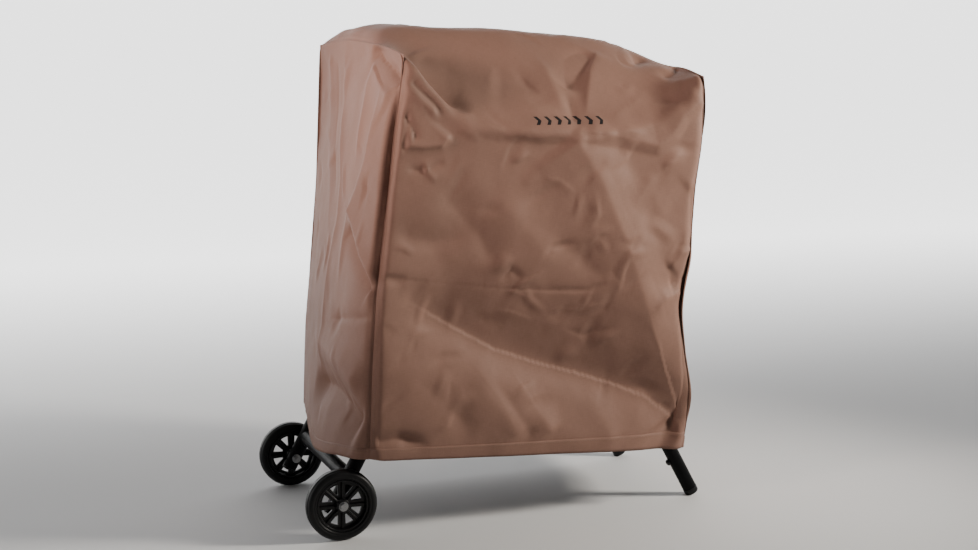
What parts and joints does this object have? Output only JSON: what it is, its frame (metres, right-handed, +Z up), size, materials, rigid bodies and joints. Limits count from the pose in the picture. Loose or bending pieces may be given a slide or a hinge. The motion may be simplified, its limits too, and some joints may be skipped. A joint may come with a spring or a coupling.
{
  "type": "covered pellet grill",
  "caption": "Fitted fabric grill cover with a piped seam at each end, over a wheeled pellet grill on splayed tube legs; lifts off upwards.",
  "frame": {"origin": "on the floor under the middle of the overall box", "axes": "+Z up, +X to the right of someone facing the front (the wheels are at -X), +Y to the back"},
  "size_m": [1.1069, 0.6262, 1.262],
  "materials": {
    "cover_fabric": "woven, soft sheen",
    "seam_binding": "woven tape, matte",
    "black_paint": "satin powder coat",
    "black_plastic": "fine grain",
    "tyre": "semi-gloss",
    "bright_steel": "brushed",
    "zinc_hardware": "zinc plated",
    "display": "gloss"
  },
  "bodies": {
    "grill": {"axle_bolt_back": "zinc_hardware", "axle_bolt_front": "zinc_hardware", "axle_nut_back": "zinc_hardware", "axle_nut_front": "zinc_hardware", "axle_washer_back": "zinc_hardware", "axle_washer_front": "zinc_hardware", "barrel_body": "black_paint", "barrel_lid": "black_paint", "controller_display": "display", "controller_housing": "black_plastic", "cooking_grate": "bright_steel", "crossbar_left": "black_paint", "crossbar_right": "black_paint", "foot_cap_back": "black_plastic", "foot_cap_front": "black_plastic", "handle_post_left": "black_plastic", "handle_post_right": "black_plastic", "hopper_base": "black_paint", "hopper_body": "black_paint", "hopper_lid": "black_paint", "hopper_lid_grip": "black_plastic", "leg_back_left": "black_paint", "leg_back_right": "black_paint", "leg_button_back": "black_plastic", "leg_button_front": "black_plastic", "leg_front_left": "black_paint", "leg_front_right": "black_paint", "leg_plug_back_left": "black_plastic", "leg_plug_front_left": "black_plastic", "lid_handle": "bright_steel", "lid_hinge_left": "black_paint", "lid_hinge_right": "black_paint", "lid_thermometer": "bright_steel", "lift_handle": "black_paint", "rail_back": "black_paint", "rail_front": "black_paint", "saddle_left": "black_paint", "saddle_right": "black_paint", "smoke_stack": "black_paint", "stack_cap": "black_paint"},
    "cover": {"cover_side_left": "cover_fabric", "cover_side_right": "cover_fabric", "cover_wrap_panel": "cover_fabric", "hem_band": "cover_fabric", "seam_binding_left": "seam_binding", "seam_binding_right": "seam_binding"},
    "wheel_front": {"tyre_front": "tyre", "wheel_hub_front": "black_plastic"},
    "wheel_back": {"tyre_back": "tyre", "wheel_hub_back": "black_plastic"},
    "knob": {"control_knob": "black_plastic"}
  },
  "joints": [
    {"name": "cover_lift", "type": "slide", "parent": "grill", "child": "cover", "axis": [0, 0, 1], "range_m": [0, 1.15]},
    {"name": "wheel_front_spin", "type": "hinge", "parent": "grill", "child": "wheel_front", "pos_m": [-0.4645, -0.2655, 0.089], "axis": [0, 1, 0], "continuous": true},
    {"name": "wheel_back_spin", "type": "hinge", "parent": "grill", "child": "wheel_back", "pos_m": [-0.4645, 0.2655, 0.089], "axis": [0, 1, 0], "continuous": true},
    {"name": "knob_turn", "type": "hinge", "parent": "grill", "child": "knob", "pos_m": [-0.171, -0.24, 0.99], "axis": [0, 1, 0], "range_deg": [0, 270]}
  ]
}
